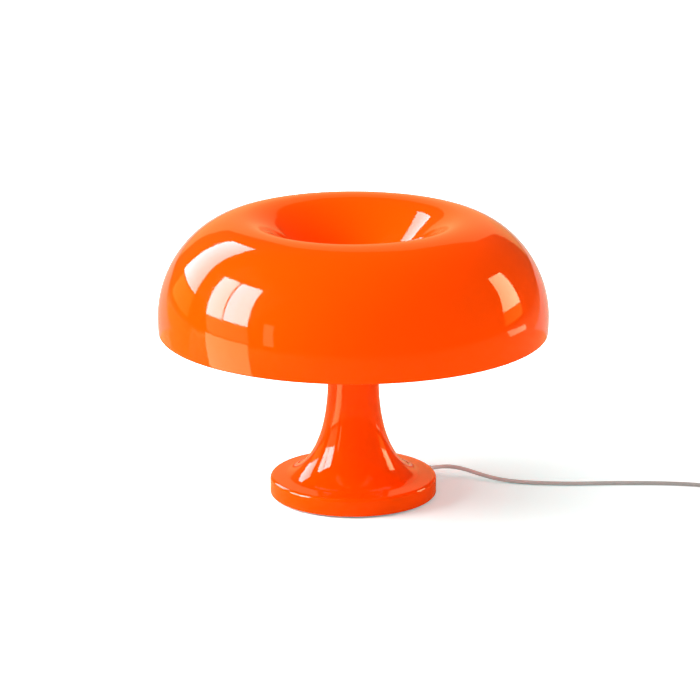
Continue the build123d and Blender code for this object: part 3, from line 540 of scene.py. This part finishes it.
holder_outline = (
    [(0, 44), (NIPPLE_HOLE, 44), (NIPPLE_HOLE, 36)]
    + rounded([(NIPPLE_HOLE, 36), (9, 36), (HOLDER_RADIUS, 42), (HOLDER_RADIUS, 44.3)], 0.7)[1:]
    + straight((HOLDER_RADIUS, 44.3), (HOLDER_RADIUS, 63.7), 40)[1:]
    + rounded(
        [(HOLDER_RADIUS, 63.7), (HOLDER_RADIUS, 67.1), (12.2, 68), (HOLDER_BORE, 68),
         (HOLDER_BORE, 66)], 0.35,
    )[1:]
    + [(HOLDER_BORE, 50), (0, 50)]
)
cap_outline = (
    [(0, 51.3)]
    + rounded([(0, 51.3), (2.4, 51.3), (2.4, 53), (6.6, 55.8), (CAP_RADIUS, 56.2)], 0.5)[1:]
    + straight((CAP_RADIUS, 56.2), (CAP_RADIUS, 69.9), 56)[1:]
    + [(6.9, 70), (6.43, 70), (6.43, 63.9), (0, 63.9)]
)
glass_outline = (
    [(0, 64.2), (6.3, 64.2), (NECK_RADIUS, 64.4), (NECK_RADIUS, 70)]
    + bezier((NECK_RADIUS, 70), (NECK_RADIUS, 78), (12.1, 81.4), (17.24, 87.54), steps=24)[1:]
    + arc((0, 102), 22.5, -40, 90, steps=56)[1:]
)
for number, arm in enumerate(arms, 1):
    turned(
        f"holder_{number}", holder_outline, white_plastic, "base",
        [f"lampholder_{number}"], places=(arm,), around=216, reshape=ribbed, crease=50,
    )
    turned(
        f"screw_cap_{number}", cap_outline, aluminium, f"bulb_{number}",
        [f"bulb_cap_{number}"], places=(arm,), around=72, reshape=threaded, crease=60,
    )
    turned(
        f"bulb_{number}_ball", glass_outline, bulb_glass, f"bulb_{number}",
        [f"bulb_glass_{number}"], places=(arm,), around=128, crease=60,
    )

# ---- screws that show, their heads down ----
PLATE_CIRCLE = 52                   # radius of the circle of the plate's screws and feet
SWITCH = (0.314, -0.076)            # middle of the cord switch
SWITCH_SCREW_OFF = 0.017            # distance of each of its screws from there
RECESS_DEPTH = 1.1


def cross_recess(angle, radius, height):
    """Head's face pressed in 1.1 mm where one of x and y is under 0.5 mm and the other
    under 2 mm."""
    across, along = np.abs(radius * np.cos(angle)), np.abs(radius * np.sin(angle))
    narrow, wide = np.minimum(across, along), np.maximum(across, along)
    inside = np.clip((0.62 - narrow) / 0.24, 0, 1) * np.clip((2.15 - wide) / 0.3, 0, 1)
    face = height < height.min() + 0.01
    return radius, np.where(face, height + RECESS_DEPTH * inside, height)


def screw(name, node, places, head, shank, sink, start, end):
    """Cross-head screws standing on their flat heads. The head's cone meets the shank at the
    height of sink above its face, and the screw reaches from start to end."""
    outline = (
        straight((0, start), (head - 0.25, start), 44)
        + [(head, start + 0.2), (head, start + 0.35), (shank, start + sink)]
        + [(shank, end - 0.4), (shank - 0.4, end), (0, end)]
    )
    turned(
        name, outline, steel, "base", [node], places=places,
        around=96, reshape=cross_recess, crease=35,
    )


def ring_places(count, radius, start):
    """Places at even angles on a circle about the lamp's axis, its radius in millimetres."""
    turns = [Matrix.Rotation(radians(start + 360 * k / count), 4, "Z") for k in range(count)]
    return [turn @ Matrix.Translation((radius * MM, 0, 0)) for turn in turns]


screw(
    "plate_screw_heads", "plate_screws", ring_places(4, PLATE_CIRCLE, 75),
    head=3.8, shank=2.0, sink=1.7, start=2.2, end=10.2,
)
switch_spots = [
    Matrix.Translation((SWITCH[0], SWITCH[1] + side * SWITCH_SCREW_OFF, 0)) for side in (-1, 1)
]
screw(
    "switch_screw_heads", "switch_screws", switch_spots,
    head=2.5, shank=1.4, sink=1.6, start=0.0, end=10.0,
)

foot_outline = [(0, 0)] + rounded([(0, 0), (6.3, 0), (7.0, 0.8), (7.0, 2.2), (0, 2.2)], 0.4)[1:]
turned(
    "foot_pads", foot_outline, black_rubber, "base", ["rubber_feet"],
    places=ring_places(4, PLATE_CIRCLE, 30), around=72, crease=50,
)

# ---- pieces whose CAD form only needs eased edges, each with its width in millimetres ----
for node, width in (
    ("bottom_plate", 0.35), ("cluster_body", 0.5), ("cluster_nut", 0.5), ("nipple_nuts", 0.35),
    ("seat_ring", 0.3), ("tie_rod", 0.15), ("plug_body", 0.3), ("plug_pins", 0.25),
    ("switch_base", 0.3), ("switch_cover", 0.3),
):
    eased(node, finish_of[frame_slots[node]], width)
eased("knob_washer", steel, 0.25, "knob_washer")
eased("switch_rocker", grey_plastic, 0.5, "rocker")

# ---- the cord: route points listed, and the coil's turns by formula, in metres ----
LYING = 0.00175                     # height of the cord's middle where it lies on the floor
AT_SWITCH, AT_PLUG = 0.0075, 0.0069
CORD_RADIUS = 1.7                   # millimetres
lamp_side = [
    (0.0653, 0.0377, 0.0086), (0.0766, 0.0442, 0.0086), (0.0918, 0.0412, 0.0074),
    (0.1075, 0.0325, 0.0044), (0.124, 0.0252, 0.0022), (0.141, 0.0205, LYING),
    (0.16, 0.0175, LYING), (0.185, 0.0162, LYING), (0.215, 0.018, LYING),
    (0.247, 0.0182, LYING), (0.276, 0.016, LYING), (0.298, 0.0105, LYING),
    (0.311, -0.006, 0.00295), (0.314, -0.031, AT_SWITCH), (0.314, -0.046, AT_SWITCH),
]
switch_to_coil = [
    (0.314, -0.106, AT_SWITCH), (0.314, -0.121, AT_SWITCH), (0.317, -0.138, 0.0032),
    (0.33, -0.1515, LYING), (0.35, -0.156, LYING), (0.369, -0.148, LYING),
    (0.3796, -0.1285, LYING), (0.3796, -0.1084, LYING),
]
coil_to_plug = [
    (0.3774, -0.1016, 0.01525), (0.3774, -0.0896, 0.01525), (0.374, -0.074, 0.0106),
    (0.369, -0.06, AT_PLUG), (0.369, -0.0375, AT_PLUG),
]
COIL = (0.355, -0.105)              # middle of the coil
COIL_TURNS, POINTS_A_TURN = 11, 16
HALVES_A_LAYER, FLAT_HALVES = 6, 5  # half turns of each layer, and those before it climbs
LOWEST, LAYER_HEIGHT = 1.75, 4.5    # millimetres: first layer, and from each to the next
INNERMOST, OUTERMOST, LAST = 13.375, 24.625, 22.375     # millimetres: radii of the turns
coil_turns = []
for step in range(COIL_TURNS * POINTS_A_TURN):
    halves = (step + 0.5) / (POINTS_A_TURN / 2)
    reach = np.interp(
        halves, (0, 5, 6, 11, 12, 17, 18, 22),
        (OUTERMOST, INNERMOST, INNERMOST, OUTERMOST, OUTERMOST, INNERMOST, INNERMOST, LAST),
    )
    layer, climb = divmod(halves, HALVES_A_LAYER)
    rise = 0.5 - 0.5 * cos(pi * (climb - FLAT_HALVES)) if climb > FLAT_HALVES else 0
    height = LOWEST + LAYER_HEIGHT * (layer + rise)
    out = reach / cos(pi / POINTS_A_TURN)
    coil_turns.append((
        COIL[0] + out * cos(pi * halves) * MM, COIL[1] + out * sin(pi * halves) * MM, height * MM,
    ))
route = lamp_side + switch_to_coil + coil_turns + coil_to_plug
line = bpy.data.curves.new("free_cord", "CURVE")
line.dimensions = "3D"
spline = line.splines.new("NURBS")
spline.points.add(len(route) - 1)
spline.points.foreach_set("co", np.column_stack([route, np.ones(len(route))]).ravel())
spline.order_u = 3
spline.use_endpoint_u = True
spline.resolution_u = 10
line.bevel_depth = CORD_RADIUS * MM
line.bevel_resolution = 5
line.use_fill_caps = True
line.materials.append(grey_sheath)
cord = bpy.data.objects.new("free_cord", line)
bpy.context.scene.collection.objects.link(cord)
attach(cord, "base")
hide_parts("cord_run", "cord_link", "cord_coil", "cord_tail")

# ---- windows, walls and light of the room ----
SHADE_MIDDLE = 0.18                 # height that directions in the room are seen from
PANES_AWAY, LAMPS_AWAY = 3.2, 2.8
PUDDLE_HEIGHT = 0.002


def laid(name, material, points, faces):
    """Object of the stage, made of points in metres and faces."""
    mesh = bpy.data.meshes.new(name)
    mesh.from_pydata(points, [], faces)
    mesh.materials.append(material)
    piece = bpy.data.objects.new(name, mesh)
    bpy.context.scene.collection.objects.link(piece)
    return piece


def lit(name, strength, tint):
    """Plain emission of one strength and colour."""
    material = bpy.data.materials.new(name)
    material.use_nodes = True
    tree = material.node_tree
    tree.nodes.clear()
    emission = tree.nodes.new("ShaderNodeEmission")
    emission.inputs["Color"].default_value = (*tint, 1)
    emission.inputs["Strength"].default_value = strength
    output = tree.nodes.new("ShaderNodeOutputMaterial")
    tree.links.new(emission.outputs[0], output.inputs["Surface"])
    return material


def towards(azimuth, elevation, distance):
    """Point at a distance from the shade's middle: azimuth 0 is towards the camera,
    90 to the right, in degrees."""
    azimuth, elevation = radians(azimuth), radians(elevation)
    level = distance * cos(elevation)
    up = SHADE_MIDDLE + distance * sin(elevation)
    return (level * sin(azimuth), -level * cos(azimuth), up)


def gleam(name, points, strength, tint):
    """Bright flat shape that only shows in the gloss of things, and casts no light or
    shadow of its own."""
    piece = laid(name, lit(name, strength, tint), points, [tuple(range(len(points)))])
    piece.visible_camera = False
    piece.visible_diffuse = False
    piece.visible_transmission = False
    piece.visible_shadow = False


def pane(name, strength, tint, corners):
    """Window or lit wall, each corner a direction in degrees from the shade's middle."""
    gleam(name, [towards(*corner, PANES_AWAY) for corner in corners], strength, tint)


def puddle(name, strength, tint, corners):
    """Mirror image of a window in the gloss of the table, lying just above it, each corner
    a place in metres."""
    gleam(name, [(x, y, PUDDLE_HEIGHT) for x, y in corners], strength, tint)


pane("left window", strength=11, tint=(0.8, 0.84, 1.05), corners=[
    (-139, 10.7), (-113, 14.4), (-118, 24.6), (-128, 35.6), (-138.6, 42.7), (-151.3, 44.5),
    (-156, 31.8), (-147, 26.5), (-141, 18),
])
pane("left wall", strength=1.2, tint=(1, 0.75, 0.15), corners=[
    (-136.3, 10.5), (-137.8, 0.4), (-110.5, 0.4), (-112.4, 13.3),
])
pane("front window left half", strength=29, tint=(0.72, 0.8, 1.2), corners=[
    (-108.7, 36.2), (-94.6, 41.3), (-82.6, 11.9), (-95.9, 10),
])
pane("front window right half", strength=35, tint=(0.72, 0.84, 1.5), corners=[
    (-93, 41.7), (-74.1, 46), (-63.9, 13.7), (-81.7, 12.1),
])
pane("sill of the front window", strength=2.6, tint=(0.95, 0.85, 0.45), corners=[
    (-95.7, 9.6), (-64.2, 13.3), (-60.5, -0.6), (-91, -0.6),
])
pane("narrow window", strength=4.5, tint=(0.8, 0.85, 0.6), corners=[
    (-54.4, 20.2), (-47.8, 20.1), (-45.1, 0.9), (-51.1, 0.8),
])
pane("right window", strength=11, tint=(0.8, 0.9, 0.62), corners=[
    (109.3, 32.2), (121.5, 26.8), (116.2, 7), (98.2, 9.5),
])
pane("right wall", strength=1.8, tint=(1, 0.75, 0.1), corners=[
    (98.2, 9.3), (116.2, 6.8), (115, 0.4), (96.5, 0.4),
])
pane("backdrop paper", strength=0.75, tint=(1, 0.86, 0.34), corners=[
    (-155.4, 0.3), (-155.4, 6.7), (-160, 18), (-166, 21.5), (-171, 29), (-170.6, 39),
    (-175, 45), (180, 47.4), (168, 46.9), (163, 39), (155, 31.6), (159, 18), (156, 9),
    (156, 0.3),
])
puddle("front window on the table", strength=7.5, tint=(0.9, 0.9, 0.62), corners=[
    (-6.5, 0.4), (-7.2, -3.8), (-0.27, -0.237), (-0.33, -0.097),
])
puddle("left wall on the table", strength=0.7, tint=(1, 0.8, 0.2), corners=[
    (-1.886, 2.05), (-3.0, 0.8), (-0.495, 0.06), (-0.445, 0.236),
])
puddle("right window on the table", strength=5, tint=(0.9, 0.9, 0.62), corners=[
    (2.98, 0.37), (1.6, 0.71), (1.07, 0.45), (1.29, 0.16),
])
puddle("bright table behind", strength=0.85, tint=(1, 0.9, 0.72), corners=[
    (-0.7, 0.42), (0.7, 0.42), (5, 8.9), (-5, 8.9),
])


OBJECT_MIDDLE = (0, 0, 0.15)


def lamp_of_room(name, azimuth, elevation, width, height, power, tint):
    """Soft rectangular lamp in a direction, of a size in metres and a power in watts. It
    faces the object's middle and doesn't show in the gloss of things."""
    glow = bpy.data.lights.new(name, "AREA")
    glow.shape = "RECTANGLE"
    glow.size, glow.size_y = width, height
    glow.energy = power
    glow.color = tint
    window = bpy.data.objects.new(name, glow)
    bpy.context.scene.collection.objects.link(window)
    window.location = towards(azimuth, elevation, LAMPS_AWAY)
    aim = Vector(OBJECT_MIDDLE) - window.location
    window.rotation_euler = aim.to_track_quat("-Z", "Y").to_euler()
    window.visible_glossy = False


lamp_of_room(
    "window light", azimuth=-85, elevation=36, width=2.4, height=1.8, power=188, tint=(1, 1, 1),
)
lamp_of_room(
    "light from the right", azimuth=75, elevation=22, width=1.6, height=1.6, power=26,
    tint=(1, 0.98, 0.95),
)

# ---- floor: pale paper, with a painted glow away from the foot, a painted cyan tint near it and a painted warm reflection ----
PAPER_HEIGHT = -0.3                 # millimetres: a little below the feet
PAPER_RINGS = (0, 900, 3500, 9000)
floor_paint, tree, shader, place = blank("pale floor")
rays = tree.nodes.new("ShaderNodeLightPath")
paper = spread(tree, noise(tree, place, scale=3, detail=3), 0, 1)
distance = tree.nodes.new("ShaderNodeVectorMath")
distance.operation = "LENGTH"
tree.links.new(place, distance.inputs[0])
from_foot = distance.outputs["Value"]
away = spread(tree, from_foot, 0, 1, start=0.14, end=0.3)
# Painted shade: the paper is cyan near the foot, to take the pink of the orange bounce out of the
# shadow there, and pale farther out.
paper_with_painted_tint = blended(tree, paper, (0.78, 0.92, 0.92), (0.77, 0.91, 0.915))
paper_with_painted_tint = blended(tree, away, paper_with_painted_tint, (0.93, 0.92, 0.92))
# Painted reflection: in the gloss of things the floor shows dim and warm instead of pale.
floor_and_painted_reflection = blended(tree, rays.outputs["Is Glossy Ray"], paper_with_painted_tint, (0.5, 0.36, 0.16))
tree.links.new(floor_and_painted_reflection, shader.inputs["Base Color"])
shader.inputs["Roughness"].default_value = 0.9
shader.inputs["Specular IOR Level"].default_value = 0.0
seen = combined(tree, "MAXIMUM", rays.outputs["Is Camera Ray"], rays.outputs["Is Transmission Ray"])
# Painted light: a glow seen by the camera that whitens the floor, weak near the foot and stronger
# farther out, so the shadow fades away from the foot.
painted_glow = spread(tree, from_foot, 0.22, 0.735, start=0.1, end=0.3)
painted_glow_far = spread(tree, from_foot, 0, 0.5, start=0.6, end=1.6)
painted_glow = combined(tree, "ADD", painted_glow, painted_glow_far)
tree.links.new(combined(tree, "MULTIPLY", seen, painted_glow), shader.inputs["Emission Strength"])
# Painted shade: the glow is cyan near the foot, to take the pink of the orange bounce out of the
# shadow there.
painted_glow_tint = blended(tree, away, (0.68, 1, 0.97), (1, 1, 1))
tree.links.new(painted_glow_tint, shader.inputs["Emission Color"])
points, faces = lathed([(radius, PAPER_HEIGHT) for radius in PAPER_RINGS], around=96)
floor = laid("floor", floor_paint, (points * MM).tolist(), faces[:, ::-1].tolist())
merged(floor.data, crease=40)

# ---- world: white to the camera, pale as light, dim and warm in the gloss of things ----
PALE_LIGHT, LESS_IN_GLOSS = 0.47, 0.33
world = bpy.data.worlds.new("room")
bpy.context.scene.world = world
world.use_nodes = True
tree = world.node_tree
background = tree.nodes["Background"]
rays = tree.nodes.new("ShaderNodeLightPath")
glossy = rays.outputs["Is Glossy Ray"]
seen = combined(tree, "MAXIMUM", rays.outputs["Is Camera Ray"], rays.outputs["Is Transmission Ray"])
dimmer = combined(tree, "MULTIPLY", glossy, LESS_IN_GLOSS)
ambient = combined(tree, "SUBTRACT", PALE_LIGHT, dimmer)
tree.links.new(combined(tree, "MAXIMUM", seen, ambient), background.inputs["Strength"])
mirrored = blended(tree, glossy, (1, 1, 1), (1, 0.75, 0.3))
tree.links.new(mirrored, background.inputs["Color"])

# ---- camera: in front, not turned or leaning, and looking a little down ----
LOOKS_DOWN = 0.277                  # radians below level
camera = bpy.data.cameras.new("camera")
camera.lens = 167.48
camera.sensor_width = 36
camera.clip_end = 60
eye = bpy.data.objects.new("camera", camera)
bpy.context.scene.collection.objects.link(eye)
eye.location = (-0.00274, -2.5714, 0.85357)
eye.rotation_euler = (pi / 2 - LOOKS_DOWN, 0, 0)
bpy.context.scene.camera = eye
bpy.context.scene.view_settings.view_transform = "Standard"
